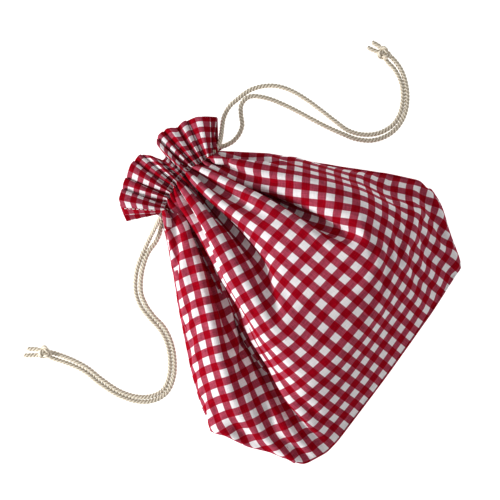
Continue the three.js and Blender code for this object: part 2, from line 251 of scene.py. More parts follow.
LEFT_STRAND_B = [
    (-29.4, LEFT_CORD_Y, BACK_CHANNEL_Z), (-33.2, LEFT_CORD_Y - 0.3, 4.9), (-37, -4.8, 4.2),
    (-42.8, -9, 2.4), (-50, -11.8, 1.7), (-60, -13.2, 1.7), (-68.6, -16.6, 1.7), (-78, -22.4, 1.7),
    (-86.4, -30.2, 1.7), (-91, -39.6, 1.7), (-93.1, -50, 1.7), (-93.8, -61, 1.7), (-98, -72.4, 1.7),
    (-105.4, -83, 1.7), (-116.6, -92.8, 1.7), (-129, -97, 1.7), (-141, -93.4, 1.7), (-149.8, -84.4, 1.7),
    (-155.8, -71.4, 1.7), (-159, -55, 1.7), (-160.2, -40.6, 1.7), (-163.8, -28.6, 1.7), (-168, -19, 1.9),
    (-170, -13.8, 2.6),
]
RIGHT_STRAND_A = [
    (29.4, RIGHT_CORD_Y, FRONT_CHANNEL_Z), (33.2, RIGHT_CORD_Y + 0.1, 13.4), (36.6, 3.5, 12),
    (41.6, 6.6, 7.6), (47, 10.6, 3.8), (53, 14.8, 2.1), (59, 17.2, 1.7), (65, 18.1, 1.7), (71, 17.4, 1.7),
    (77, 16.7, 1.7), (83.6, 15, 1.7), (91, 10.8, 1.7), (98.6, 3.4, 1.7), (104, -7, 1.7), (107.2, -20, 1.7),
    (109, -34, 1.7), (110.4, -48, 1.7), (112, -60, 1.7), (116.6, -69.5, 1.7), (124, -77.2, 1.7),
    (132, -81.2, 1.7), (140, -82.4, 1.7), (150, -79.8, 1.7), (160, -72.6, 1.7), (166.4, -64.6, 1.7),
    (170.2, -54.6, 1.8), (171, -45, 2.6),
]
RIGHT_STRAND_B = [
    (29.4, RIGHT_CORD_Y, BACK_CHANNEL_Z), (33.2, RIGHT_CORD_Y - 0.1, 4.9), (36.4, 1.3, 4.2),
    (40.6, -0.7, 2.9), (46, -2.2, 1.9), (53, -1.8, 1.7), (59.6, 1.2, 1.7), (64.6, 7.2, 1.7), (70, 12.1, 1.7),
    (76, 13, 1.7), (80.6, 11, 1.7), (85, 5.6, 1.7), (89, -1.6, 1.7), (92.4, -10.4, 1.7), (95.6, -20.6, 1.7),
    (99.2, -34, 1.7), (102.6, -46, 1.7), (106.8, -58, 1.7), (111.6, -69.6, 1.7), (119.4, -79.4, 1.7),
    (130, -85, 1.7), (140, -86.2, 1.7), (151, -83.4, 1.7), (161, -76.6, 1.7), (169, -67.2, 1.7),
    (174, -57, 1.8), (175.4, -45.2, 2.6),
]
STRANDS = {"left": (LEFT_STRAND_A, LEFT_STRAND_B), "right": (RIGHT_STRAND_A, RIGHT_STRAND_B)}

# Each knot: its centre, and the way each strand's loose end takes out of it
KNOTS = {
    "left": {"centre": (-170.0, -8.4, 4.4), "a": ((-170.6, -6.5), (-173.2, -1.6), (-177.6, 3.4)),
             "b": ((-172.4, -8.6), (-176.8, -4.6), (-183, 1.8))},
    "right": {"centre": (173.4, -40, 4.4), "a": ((172, -38.4), (170.2, -33.6), (168.4, -27.6)),
              "b": ((174.6, -38.4), (175.0, -33.2), (173.8, -27.4))},
}
LOOSE_END_HEIGHTS = (3.4, 2.2, 1.8)
INTO_KNOT = 0.62                # a strand runs on this share of the way from its last point to the centre
KNOT_SIZE = (1.35, 1.3, 1.6)    # along the cord, across it and up


def knot_line(centre, heading):
    """An overhand knot pulled small: a trefoil laid along the cord's heading."""
    t = np.linspace(0.1 * math.pi, 2.02 * math.pi, 130)
    ahead = KNOT_SIZE[0] * (np.cos(t) - 2 * np.cos(2 * t))
    aside = KNOT_SIZE[1] * (np.sin(t) + 2 * np.sin(2 * t))
    rise = -KNOT_SIZE[2] * np.sin(3 * t)
    along, side = level_axes(heading)
    return np.array(centre) + np.outer(ahead, along) + np.outer(aside, side) + np.outer(rise, (0.0, 0.0, 1.0))


def add_cord(side, material):
    """The shown part of one cord: two strands, the knot that joins them, and its loose ends."""
    body = f"{side}_drawcord"
    knot = KNOTS[side]
    centre = np.array(knot["centre"])
    for letter, route in zip("ab", STRANDS[side]):
        into_knot = np.array(route[-1]) * (1 - INTO_KNOT) + centre * INTO_KNOT
        line = catmull_rom([*route, into_knot], ROPE_STEP)
        strand = rope(f"{side}_cord_strand_{letter}_rope", line, material)
        dress(strand, "cotton_cord", f"{side}_cord_strand_{letter}", body=body)
        end = catmull_rom([(*at, z) for at, z in zip(knot[letter], LOOSE_END_HEIGHTS)], ROPE_STEP)
        loose = rope(f"{side}_cord_end_{letter}_rope", end, material, cut_end=True)
        dress(loose, "cotton_cord", f"{side}_cord_end_{letter}", body=body)
    enters, leaves = STRANDS[side][1][-1], knot["a"][-1]
    heading = math.atan2(leaves[1] - enters[1], leaves[0] - enters[0])
    tied = rope(f"{side}_cord_knot_rope", knot_line(centre, heading), material)
    dress(tied, "cotton_cord", f"{side}_cord_knot", body=body)


INNER_FRONT_Z, INNER_BACK_Z = 10.0, 5.0
INNER_STEP = 1.0
INNER_END_X, INNER_TURN_X = 29.0, 25.0


def add_inner_loop(side, y, material):
    """The hidden run of a cord inside the gathers, through the front and back through the back."""
    out = SIDES[side]
    turn = (INNER_FRONT_Z - INNER_BACK_Z) / 2
    points = [(out * INNER_END_X, y, FRONT_CHANNEL_Z), (out * 26.0, y, 12.0), (out * 22.0, y, 10.5)]
    points += [(out * x, y, INNER_FRONT_Z) for x in (15.0, 0.0, -15.0, -24.0)]
    for k in range(1, 6):
        angle = math.pi * k / 6
        points.append((-out * (INNER_TURN_X + turn * math.sin(angle)), y,
                       INNER_BACK_Z + turn + turn * math.cos(angle)))
    points += [(out * x, y, INNER_BACK_Z) for x in (-24.0, -15.0, 0.0, 15.0, INNER_END_X)]
    loop = rope(f"{side}_cord_inner_rope", catmull_rom(points, INNER_STEP), material)
    dress(loop, "cotton_cord", f"{side}_cord_inner_loop", body=f"{side}_drawcord")


# ---------------------------------------------------------------- the cloth's lie

COLUMNS = 2 * SEAM_CELLS + 1
ROWS = CORD_CELLS + HEADER_CELLS + 1

# The white checks are two checks apart both ways. Column 0 is the one nearest the middle of the body.
PERIOD = 2 * CHECK
FIRST_WHITE_U = 13.4
FIRST_WHITE_V = 16.7
GRAIN_DRIFT = 9.0               # the bottom crease crosses this much of the grain towards the right
DRIFT_FROM, DRIFT_TO = 45, 110  # the stretch of the crease, in u, where it does

# How the front lies: row of white checks: (column, x, y, z), from the left seam or fold to the right one
FRONT_LIE = {
    -1: [(-9, -98, -206, 2), (-8, -89, -209, 4), (-7, -78, -212, 4), (-6, -66, -213, 4), (-4, -42, -211, 5),
         (-2, -17, -209, 5), (0, 7, -206, 5), (2, 30, -202, 6), (4, 53, -196, 9), (6, 75, -189, 12),
         (8, 97, -184, 9), (8.7, 103, -179, 2)],
    1: [(-11.6, -116, -170, 2), (-11, -112, -172, 5), (-10, -103, -177, 9), (-9, -93, -182, 12),
        (-8, -82, -186, 13), (-7, -76, -189, 14), (-6, -69, -193, 16), (-5, -57, -193, 19),
        (-4, -44, -193, 20), (-2, -19, -191, 21), (0, 5, -187, 23), (2, 29, -183, 24), (4, 53, -179, 27),
        (6, 74, -171, 28), (7, 84, -166, 25), (8, 94, -163, 20), (9, 104, -158, 13), (10, 113, -155, 7),
        (10.7, 119, -150, 2)],
    3: [(-13.8, -126, -145, 2), (-13, -122, -142, 8), (-12, -114, -144, 14), (-11, -103, -150, 19),
        (-10, -93, -155, 19), (-9, -83, -158, 15), (-8, -74, -163, 12), (-7, -71, -165, 14),
        (-6, -68, -167, 20), (-5, -58, -170, 28), (-4, -47, -171, 33), (-3, -34, -172, 36),
        (-2, -21, -172, 39), (0, 4, -171, 42), (2, 29, -168, 43), (4, 52, -161, 45), (5, 64, -158, 45),
        (6, 74, -154, 43), (7, 85, -150, 38), (8, 95, -145, 31), (9, 103, -140, 23), (10, 108, -135, 16),
        (11, 114, -129, 10), (11.7, 121, -127, 2)],
    5: [(-13.8, -117, -122, 2), (-13, -113, -120, 9), (-12, -102, -123, 18), (-11, -92, -129, 23),
        (-10, -82, -133, 18), (-9, -74, -136, 11), (-8, -65, -139, 5), (-7, -62, -141, 7),
        (-6, -61, -143, 18), (-5, -57, -145, 29), (-4, -48, -147, 38), (-3, -35, -149, 41),
        (-2, -24, -149, 44), (0, 2, -147, 48), (1, 15, -147, 51), (2, 28, -147, 54), (3, 40, -147, 57),
        (4, 53, -144, 59), (5, 64, -140, 57), (6, 74, -135, 52), (7, 83, -130, 46), (8, 90, -125, 38),
        (9, 93, -120, 29), (10, 96, -114, 19), (11, 102, -109, 11), (11.7, 109, -107, 2)],
    7: [(-13.8, -104, -100, 2), (-13, -99, -99, 10), (-12, -89, -102, 18), (-11, -80, -108, 23),
        (-10, -72, -112, 18), (-9, -65, -114, 11), (-8, -58, -117, 5), (-7, -56, -119, 7),
        (-6, -55, -120, 18), (-5, -52, -121, 30), (-4, -46, -122, 40), (-3, -38, -124, 45),
        (-2, -25, -124, 47), (-1, -12, -123, 49), (0, 0, -122, 51), (2, 26, -122, 57), (3, 38, -122, 60),
        (4, 51, -123, 63), (5, 60, -120, 65), (6, 69, -113, 63), (7, 77, -108, 56), (8, 83, -101, 46),
        (9, 86, -97, 36), (10, 88, -94, 26), (11, 93, -89, 14), (11.7, 98, -91, 2)],
    9: [(-13.8, -89, -79, 2), (-13, -85, -80, 10), (-12, -75, -81, 18), (-11, -66, -87, 22),
        (-10, -60, -91, 15), (-9, -54, -93, 9), (-8, -49, -96, 4), (-7, -48, -97, 7), (-6, -46, -97, 18),
        (-5, -44, -97, 30), (-4, -40, -95, 41), (-3, -30, -98, 45), (-2, -21, -100, 42), (-1, -12, -98, 44),
        (0, -1, -96, 50), (1, 11, -96, 53), (2, 25, -96, 56), (3, 37, -96, 56), (4, 42, -99, 47),
        (5, 47, -98, 50), (6, 55, -93, 55), (7, 63, -86, 55), (8, 71, -80, 48), (9, 75, -76, 38),
        (10, 78, -72, 26), (11, 82, -69, 13), (11.7, 86, -74, 2)],
    11: [(-13.8, -75, -59, 2), (-13, -70, -59, 10), (-12, -62, -60, 17), (-11, -52, -66, 20),
         (-10, -48, -70, 12), (-9, -44, -72, 7), (-8, -39, -74, 4), (-7, -38, -74, 6), (-6, -38, -73, 17),
         (-5, -37, -71, 28), (-4, -33, -70, 39), (-3, -23, -73, 43), (-2, -13, -77, 38), (-1, -6, -76, 30),
         (0, -2, -73, 40), (1, 10, -70, 48), (2, 23, -70, 50), (3, 33, -70, 47), (4, 36, -73, 37),
         (5, 38, -76, 31), (6, 42, -74, 38), (7, 49, -65, 43), (8, 57, -58, 41), (9, 63, -53, 31),
         (10, 67, -50, 20), (11, 70, -47, 10), (11.7, 72, -53, 2)],
    13: [(-13.8, -59, -39, 2), (-13, -55, -39, 10), (-12, -49, -39, 16), (-11, -39, -46, 18),
         (-10, -35, -48, 10), (-9, -31, -50, 5), (-8, -29, -50, 4), (-7, -28, -50, 6), (-6, -28, -49, 15),
         (-5, -27, -48, 25), (-4, -23, -47, 34), (-3, -15, -48, 37), (-2, -8, -52, 32), (-1, -3, -50, 20),
         (0, 0, -48, 29), (1, 7, -44, 39), (2, 17, -47, 39), (3, 28, -44, 40), (4, 31, -49, 28),
         (5, 32, -51, 17), (6, 34, -51, 24), (7, 37, -46, 31), (8, 43, -39, 32), (9, 50, -33, 25),
         (10, 54, -31, 16), (11, 56, -30, 8), (11.7, 58, -36, 3)],
    15: [(-13.8, -43, -20, 4), (-13, -40, -19, 10), (-12, -34, -18, 14), (-11, -27, -23, 15),
         (-10, -24, -26, 9), (-9, -22, -27, 6), (-8, -20, -27, 5), (-7, -20, -27, 9), (-6, -19, -26, 16),
         (-5, -17, -25, 23), (-4, -14, -24, 29), (-3, -8, -25, 31), (-2, -4, -27, 24), (-1, -2, -26, 14),
         (0, 0, -23, 24), (1, 5, -20, 31), (2, 10, -23, 25), (3, 18, -21, 31), (4, 21, -24, 21),
         (5, 22, -26, 12), (6, 24, -27, 16), (7, 26, -25, 23), (8, 30, -19, 25), (9, 35, -16, 20),
         (10, 38, -14, 14), (11, 40, -13, 9), (11.7, 42, -17, 5)],
}
# The bottom crease: (u on the cloth, x, y)
CREASE = [(-105, -100, -202), (-97, -96, -211), (-76, -78, -217), (-63, -66, -217), (0, -6, -210),
          (64, 54, -202), (111, 95, -194)]
CREASE_Z = 2.6

# The tips of the front ruffle from left to right, two fans with a V between them
RUFFLE_TIPS = [(-52, 19), (-46, 30), (-35, 36), (-20, 42), (-10, 42), (-5, 35), (-2, 26), (2, 26),
               (4, 38), (9, 42), (18, 41), (22, 36), (31, 35), (40, 30), (47, 22)]

# Eleven uneven pleats, by how much of the cloth each takes up
PLEAT_SHARES = np.array([1.7, 0.85, 1.2, 0.7, 1.1, 0.8, 1.3, 0.7, 1.0, 0.8, 1.65])
PLEAT_EDGES = np.concatenate([[0.0], np.cumsum(PLEAT_SHARES)]) / PLEAT_SHARES.sum()

# One pleat seen end on: (share of its cloth, place across it, height from -1 to 1)
BAND = [(0.0, 0.0, 0.1), (0.12, 0.24, 0.65), (0.3, 0.62, 1.0), (0.48, 1.03, 0.85), (0.56, 1.08, 0.4),
        (0.74, 0.4, -1.0), (0.88, 0.6, -0.6), (1.0, 1.0, 0.1)]
BAND_TIP_SLANT = 0.03           # a pleat's crest reaches this share further out than its middle
HEADER_BELLY = 2.2              # the header bows up this much between the neck and the tips

FRONT_NECK_LOW, BACK_NECK_HIGH = 12.4, 3.0

# Pleats as (middle z, half height) at the neck and at the tips
FRONT_PLEATS = ((15.9, 3.4), (12.8, 4.2))
BACK_PLEATS = ((1.8, 1.1), (4.9, 3.2))
BACK_FOLD_HEIGHT = 7.0          # how far the back's gathers stand up inside, near the neck
BACK_TIPS = [(x * 1.07 + 0.5, y - 3.5 * (x / 50) ** 2) for x, y in RUFFLE_TIPS]


def flat_grid():
    u = np.linspace(-HALF_WIDTH, HALF_WIDTH, COLUMNS)
    v = np.linspace(0.0, CLOTH_LENGTH, ROWS)
    return np.meshgrid(u, v)


def grain_v(u, v):
    """How far up the check a point is, counted along the grain."""
    return v - GRAIN_DRIFT * smoothstep(DRIFT_FROM, DRIFT_TO, u) * np.clip(1 - v / CORD_LINE, 0, 1)


def on_guide(at, known, points):
    """The places at the given distances along a guide whose points are at the known ones."""
    return np.stack([np.interp(at, known, points[:, axis]) for axis in range(points.shape[1])], axis=-1)


def body_lie(rows, u, v):
    """Every point of the body, between the rows of white checks whose places are given."""
    crease = np.array([(*point, CREASE_Z) for point in CREASE], float)
    across = u[0]
    along = [grain_v(across, np.zeros_like(across))]
    lie = [on_guide(across, crease[:, 0], crease[:, 1:])]
    for row in sorted(rows):
        guide = np.array(rows[row], float)
        lie.append(on_guide(across, FIRST_WHITE_U + PERIOD * guide[:, 0], guide[:, 1:]))
        along.append(np.full_like(across, FIRST_WHITE_V + PERIOD * row))
    along, lie = np.array(along), np.array(lie)
    wanted = grain_v(u, v)
    start = np.zeros((*u.shape, 3))
    for column in range(COLUMNS):
        start[:, column] = on_guide(wanted[:, column], along[:, column], lie[:, column])
    return start


# A tucked corner lies this far from the cloth it is folded against, and further for each cell beyond
TUCK_GAP, TUCK_SLOPE = 0.9, 0.3
TUCK_LOWEST = 1.5


def fold_corners(start, away):
    """Lays the cloth beyond each folded corner back inside the pouch. away is +1 to tuck it underneath."""
    folded = np.zeros(start.shape[:2], bool)
    for j in range(ROWS):
        for i in range(COLUMNS):
            cells = i - SEAM_CELLS
            side = 1 if cells > 0 else -1
            beyond = abs(cells) - CORNER_CELLS[side] - j
            if beyond <= 0:
                continue
            folded[j, i] = True
            mirror = start[abs(cells) - CORNER_CELLS[side], SEAM_CELLS + side * (CORNER_CELLS[side] + j)]
            start[j, i] = mirror
            start[j, i, 2] = max(mirror[2] - away * (TUCK_GAP + TUCK_SLOPE * beyond), TUCK_LOWEST)
    return folded


def pleat_phase(u):
    """Which pleat each point is in, and how far across that pleat's cloth."""
    share = (u + HALF_WIDTH) / (2 * HALF_WIDTH)
    number = np.clip(np.searchsorted(PLEAT_EDGES, share, side="right") - 1, 0, len(PLEAT_SHARES) - 1)
    return number, (share - PLEAT_EDGES[number]) / (PLEAT_EDGES[number + 1] - PLEAT_EDGES[number])


def zigzag(phase):
    """A pleat pinched tight, from 1 at its crest to -1 in its valley."""
    return 1 - 4 * np.abs((phase + 0.25) % 1.0 - 0.5)


def polyline(points, shares):
    """Places on a line of straight runs, by how far along it they are."""
    points = np.asarray(points, float)
    along = travelled(points)
    return on_guide(np.asarray(shares) * along[-1], along, points)


def neck_line_y(x):
    return NECK_ARCH * np.clip(1 - (x / (NECK_HALF + 2)) ** 2, 0, 1) ** 0.8 + NECK_END_Y


def header_lie(u, v, tips, neck_pleats, tip_pleats):
    """The header fanned out from the pinched neck. Pleats are given as (middle z, half height)."""
    number, phase = pleat_phase(u)
    band = np.array(BAND)
    width = PLEAT_EDGES[number + 1] - PLEAT_EDGES[number]
    across = PLEAT_EDGES[number] + width * np.interp(phase, band[:, 0], band[:, 1])
    height = np.interp(phase, band[:, 0], band[:, 2])
    neck_x = u / HALF_WIDTH * NECK_HALF
    neck = np.stack([neck_x, neck_line_y(neck_x), neck_pleats[0] + neck_pleats[1] * zigzag(phase)], axis=-1)
    tip_xy = polyline(tips, np.clip(across, 0, 1).ravel()).reshape(*u.shape, 2)
    relative_width = width * len(PLEAT_SHARES)
    tip = np.dstack([tip_xy, tip_pleats[0] + tip_pleats[1] * height * relative_width ** 0.7])
    out = np.clip((v - CORD_LINE) / (CLOTH_LENGTH - CORD_LINE), 0, 1)
    out = out * (1 - BAND_TIP_SLANT + BAND_TIP_SLANT * height)
    lie = neck + (tip - neck) * out[..., None]
    lie[..., 2] += HEADER_BELLY * np.sin(math.pi * np.clip(out, 0, 1))
    return lie


def gather(start, v, header, reach):
    """Draws the body together into the neck over the last stretch below the cord line."""
    into = smoothstep(CORD_LINE - reach, CORD_LINE - 2, v)[..., None]
    return start * (1 - into) + header * into


# ---------------------------------------------------------------- relaxing the cloth

# Pulls between threads: (rows up, columns across, stiffness, whether it only resists bending)
PULLS = [(0, 1, 1.0, False), (1, 0, 1.0, False), (1, 1, 0.2, False), (1, -1, 0.2, False),
         (0, 2, 0.15, True), (2, 0, 0.15, True), (0, 4, 0.05, True), (4, 0, 0.05, True)]
SQUEEZE = 0.93                  # loose cotton gives this much along a thread before it buckles
GLIDE = 0.9                     # how much of each step's movement carries on into the next
SAG = 0.003                     # how far the cloth's weight moves it in one step

# How firmly each part of the cloth stays where it was laid
SEAM_HOLD, CREASE_HOLD, TUCK_HOLD, NECK_HOLD = 0.5, 0.4, 0.15, 0.8
FRONT_HOLD, BACK_HOLD = 0.03, 0.05
FRONT_STEPS, BACK_STEPS = 260, 120
FRONT_GATHER, BACK_GATHER = 26, 60  # how far below the cord line the gathers reach

# Heights that the two cloths keep between
FRONT_LOWEST, FRONT_HEADER_RISE, CEILING = 1.4, 9.2, 80.0
BACK_LOWEST, BACK_HIGHEST = 0.3, 10.0


def links():
    """Every pull between threads, in groups where no point comes twice.

    A group is (first points, second points, rest length, stiffness, whether it only resists bending).
    """
    index = np.arange(ROWS * COLUMNS).reshape(ROWS, COLUMNS)
    groups = []
    for up, across, stiffness, bends in PULLS:
        first = index[:ROWS - up, max(0, -across):COLUMNS - max(0, across)]
        second = index[up:, max(0, across):COLUMNS - max(0, -across)]
        rest = CELL * math.hypot(up, across)
        axis = 1 if across else 0
        reach = max(up, abs(across))
        k = np.arange(first.shape[axis])
        for turn in range(2):
            chosen = k[(k // reach) % 2 == turn]
            groups.append((first.take(chosen, axis).ravel(), second.take(chosen, axis).ravel(),
                           rest, stiffness, bends))
    return groups


def settle(target, hold, low, high, steps):
    """Lets the cloth relax: threads keep their length, and held points stay near their targets."""
    goal = target.reshape(-1, 3)
    grip = hold.reshape(-1, 3)
    x = goal.copy()
    before = x.copy()
    pulls = links()
    for _ in range(steps):
        drift = (x - before) * GLIDE
        before = x.copy()
        x += drift
        x[:, 2] -= SAG
        for first, second, rest, stiffness, bends in pulls:
            gap = x[second] - x[first]
            length = np.sqrt(np.einsum("ij,ij->i", gap, gap)) + 1e-9
            if bends:
                miss = np.minimum(length - rest, 0.0)
            else:
                miss = np.maximum(length - rest, 0.0) + np.minimum(length - SQUEEZE * rest, 0.0)
            move = gap * (0.5 * stiffness * miss / length)[:, None]
            x[first] += move
            x[second] -= move
        x += grip * (goal - x)
        x[:, 2] = np.clip(x[:, 2], low(x), high(x))
    return x.reshape(target.shape)


def near_cords(x):
    """1 where the cords run across the neck, falling to 0 around them."""
    return smoothstep(-14, -6, x[:, 1]) * smoothstep(20, 12, x[:, 1]) * smoothstep(36, 31, np.abs(x[:, 0]))


def near_header(x):
    """1 over the back ruffle, falling to 0 below it and beside it."""
    return smoothstep(-12, 2, x[:, 1]) * smoothstep(60, 52, np.abs(x[:, 0]))


def front_low(x):
    return FRONT_LOWEST + np.maximum((FRONT_NECK_LOW - FRONT_LOWEST) * near_cords(x),
                                     FRONT_HEADER_RISE * near_header(x))


def front_high(x):
    return np.full(len(x), CEILING)


def back_low(x):
    return np.full(len(x), BACK_LOWEST)


def back_high(x):
    return BACK_HIGHEST - (BACK_HIGHEST - BACK_NECK_HIGH) * near_cords(x)


def relaxed(start, tuck, tips, pleats, reach, hold, limits, steps):
    """The cloth with its corners tucked in and its neck gathered, left to relax from where it was laid."""
    u, v = flat_grid()
    folded = fold_corners(start, tuck)
    start = gather(start, v, header_lie(u, v, tips, *pleats), reach)
    holds = np.full(start.shape, hold)
    holds[:, [0, -1]] = SEAM_HOLD
    holds[0, :] = CREASE_HOLD
    holds[folded] = TUCK_HOLD
    holds[CORD_CELLS - 1:, :] = NECK_HOLD
    settled = settle(start, holds, *limits, steps)
    fold_corners(settled, tuck)
    return settled


def front_cloth():
    start = body_lie(FRONT_LIE, *flat_grid())
    return relaxed(start, 1.0, RUFFLE_TIPS, FRONT_PLEATS, FRONT_GATHER, FRONT_HOLD,
                   (front_low, front_high), FRONT_STEPS)


BACK_BODY_Z = 0.7


def back_rows():
    """The back lies flat between the same seams and folds as the front."""
    rows = {}
    for row, guide in FRONT_LIE.items():
        left, right = guide[0], guide[-1]
        middle_y = np.interp(FIRST_WHITE_V + PERIOD * row, [0, CORD_LINE], [-209, 4])
        drop = middle_y - (left[2] + right[2]) / 2
        rows[row] = []
        for share in np.linspace(0, 1, 9):
            column, x, y = (left[n] + (right[n] - left[n]) * share for n in (0, 1, 2))
            rows[row].append((column, x, y + drop * (1 - (2 * share - 1) ** 2), BACK_BODY_Z))
    return rows


def back_cloth():
    u, v = flat_grid()
    start = body_lie(back_rows(), u, v)
    _, phase = pleat_phase(u)
    start[..., 2] = BACK_BODY_Z + BACK_FOLD_HEIGHT * smoothstep(60, 180, v) * np.clip(zigzag(phase), 0, 1)
    return relaxed(start, -1.0, BACK_TIPS, BACK_PLEATS, BACK_GATHER, BACK_HOLD,
                   (back_low, back_high), BACK_STEPS)


# ---------------------------------------------------------------- cloth pieces

FINE = 3                        # the shown cloth has this many times the cells each way
CRISP_REACH = 3                 # the header's own folds take over this near the cord line
EDGE_THICKNESS = 0.4


def spread(grid, factor):
    """A finer grid through a smooth surface: cubic B-splines along both directions."""
    for axis in (0, 1):
        grid = np.moveaxis(grid, axis, 0)
        padded = np.concatenate([2 * grid[:1] - grid[1:2], grid, 2 * grid[-1:] - grid[-2:-1]])
        count = grid.shape[0] - 1
        at = np.linspace(0, count, count * factor + 1)
        cell = np.minimum(at.astype(int), count - 1)
        t = (at - cell).reshape(-1, *[1] * (grid.ndim - 1))
        a, b, c, d = (padded[cell + k] for k in range(4))
        grid = ((1 - t) ** 3 * a + (3 * t ** 3 - 6 * t ** 2 + 4) * b
                + (-3 * t ** 3 + 3 * t ** 2 + 3 * t + 1) * c + t ** 3 * d) / 6
        grid = np.moveaxis(grid, 0, axis)
    return grid


def fine_cloth(shape, tips, pleats):
    """The settled cloth on a finer grid, with the header's folds at full sharpness."""
    u, v = flat_grid()
    fine_u = spread(u[..., None], FINE)[..., 0]
    fine_v = spread(v[..., None], FINE)[..., 0]
    header = header_lie(fine_u, fine_v, tips, *pleats)
    for _ in range(2):
        header[:, 1:-1] = (header[:, :-2] + 2 * header[:, 1:-1] + header[:, 2:]) / 4
    crisp = smoothstep(CORD_LINE - CRISP_REACH, CORD_LINE + CRISP_REACH, fine_v)[..., None]
    return fine_u, fine_v, spread(shape, FINE) * (1 - crisp) + header * crisp


def grid_faces(height, width):
    index = np.arange(height * width).reshape(height, width)
    quads = np.stack([index[:-1, :-1], index[:-1, 1:], index[1:, 1:], index[1:, :-1]], axis=-1)
    return quads.reshape(-1, 4).tolist()


def weave_at(u, v):
    """Cloth coordinates in checks, with white at even whole numbers."""
    return np.stack([(u - FIRST_WHITE_U) / CHECK, (grain_v(u, v) - FIRST_WHITE_V) / CHECK,
                     np.zeros_like(u)], axis=-1).reshape(-1, 3)


def cloth_object(name, u, v, points, material, thickness=CLOTH_THICKNESS):
    """A piece of gingham through a grid of points, thickened inwards."""
    cloth = make_object(name, points.reshape(-1, 3), grid_faces(*points.shape[:2]), material,
                        weave=weave_at(u, v))
    thick = cloth.modifiers.new("thickness", "SOLIDIFY")
    thick.thickness = thickness * MM
    thick.offset = -1.0
    return cloth


def on_cloth(fine, u, v):
    """Points of the cloth at the given cloth coordinates, and the cloth's normals there."""
    step = CELL / FINE
    rows, columns = fine.shape[:2]
    i = np.clip((np.asarray(u, float) + HALF_WIDTH) / step, 0, columns - 1.001)
    j = np.clip(np.asarray(v, float) / step, 0, rows - 1.001)
    i0, j0 = i.astype(int), j.astype(int)
    fi, fj = (i - i0)[:, None], (j - j0)[:, None]
    a, b, c, d = fine[j0, i0], fine[j0, i0 + 1], fine[j0 + 1, i0], fine[j0 + 1, i0 + 1]
    point = (a * (1 - fi) + b * fi) * (1 - fj) + (c * (1 - fi) + d * fi) * fj
    normal = np.cross(b - a, c - a)
    return point, normal / (np.linalg.norm(normal, axis=1, keepdims=True) + 1e-9)


# ---------------------------------------------------------------- sewing

STITCH_LENGTH = 2.2
STITCH_GAP = 0.9
SHORTEST_STITCH = 0.6           # as a share of its length; a stitch crushed shorter in a fold is left out
STITCH_LIFT = 0.1
THREAD_RADIUS = 0.34
THREAD_SIDES = 6
HEM_ALLOWANCE = 6.3
CASING_ROWS = {"upper": 3.0, "lower": -3.0}

# Rings along a stitch: (share of its length, height, share of the thread's radius)
STITCH_RINGS = ((0.0, -0.25, 0.55), (0.12, 0.1, 1.0), (0.5, 0.2, 1.0), (0.88, 0.1, 1.0), (1.0, -0.25, 0.55))


def stitch_points(a, b, up):
    """A stitch as rings of points: a short thread that dips into the cloth at both ends."""
    along = (b - a) / np.linalg.norm(b - a)
    side = np.cross(along, up)
    angles = np.arange(THREAD_SIDES) * 2 * math.pi / THREAD_SIDES
    round_thread = np.outer(np.cos(angles), side) + np.outer(np.sin(angles), up)
    return np.concatenate([a + (b - a) * share + up * lift + THREAD_RADIUS * size * round_thread
                           for share, lift, size in STITCH_RINGS])


def stitching(name, fine, u, v, material, above=1.0):
    """A row of stitches along a line drawn on the cloth. above is -1 for its inner side."""
    line, normals = on_cloth(fine, u, v)
    normals = normals * np.where(normals[:, 2:] < 0, -1, 1) * above
    along = travelled(line)
    points, faces = [], []
    for start in np.arange(1.0, along[-1] - STITCH_LENGTH, STITCH_LENGTH + STITCH_GAP):
        a, b = on_guide([start, start + STITCH_LENGTH], along, line)
        if np.linalg.norm(b - a) < SHORTEST_STITCH * STITCH_LENGTH:
            continue
        up = normals[np.searchsorted(along, start + STITCH_LENGTH / 2)]
        first = len(points) * len(STITCH_RINGS) * THREAD_SIDES
        last = first + (len(STITCH_RINGS) - 1) * THREAD_SIDES
        points.append(stitch_points(a + up * STITCH_LIFT, b + up * STITCH_LIFT, up))
        for low in range(first, last, THREAD_SIDES):
            high = low + THREAD_SIDES
            for k in range(THREAD_SIDES):
                n = (k + 1) % THREAD_SIDES
                faces.append((low + k, low + n, high + n, high + k))
        faces.append(tuple(first + k for k in reversed(range(THREAD_SIDES))))
        faces.append(tuple(last + k for k in range(THREAD_SIDES)))
    return make_object(name, np.concatenate(points), faces, material)


BODY_MIDDLE = np.array([0.0, -100.0, 0.0])
EDGE_BULGE, EDGE_INSET = 0.9, 0.3


def joining_edge(name, upper, lower, u, v, material):
    """The rounded edge of cloth that joins the front to the back along a line drawn on both."""
    top, _ = on_cloth(upper, u, v)
    bottom, _ = on_cloth(lower, u, v)
    away = top - BODY_MIDDLE
    away[:, 2] = 0
    along = np.gradient(top, axis=0)
    out = np.stack([along[:, 1], -along[:, 0], np.zeros(len(along))], axis=-1)
    out /= np.linalg.norm(out, axis=1, keepdims=True) + 1e-9
    out *= np.sign(np.einsum("ij,ij->i", out, away))[:, None]
    rows = []
    for turn in np.linspace(0, math.pi, 7):
        share = (1 - math.cos(turn)) / 2
        rows.append(top + (bottom - top) * share + out * (EDGE_BULGE * math.sin(turn) - EDGE_INSET))
    rows = np.array(rows)
    u_rows, v_rows = (np.broadcast_to(line, rows.shape[:2]).astype(float) for line in (u, v))
    return cloth_object(name, u_rows, v_rows, rows, material, thickness=EDGE_THICKNESS)


BASE_LEAF_DEPTH = 20.0
BASE_LEAF_INSET = 4.0
BASE_LEAF_RIPPLE = 0.3


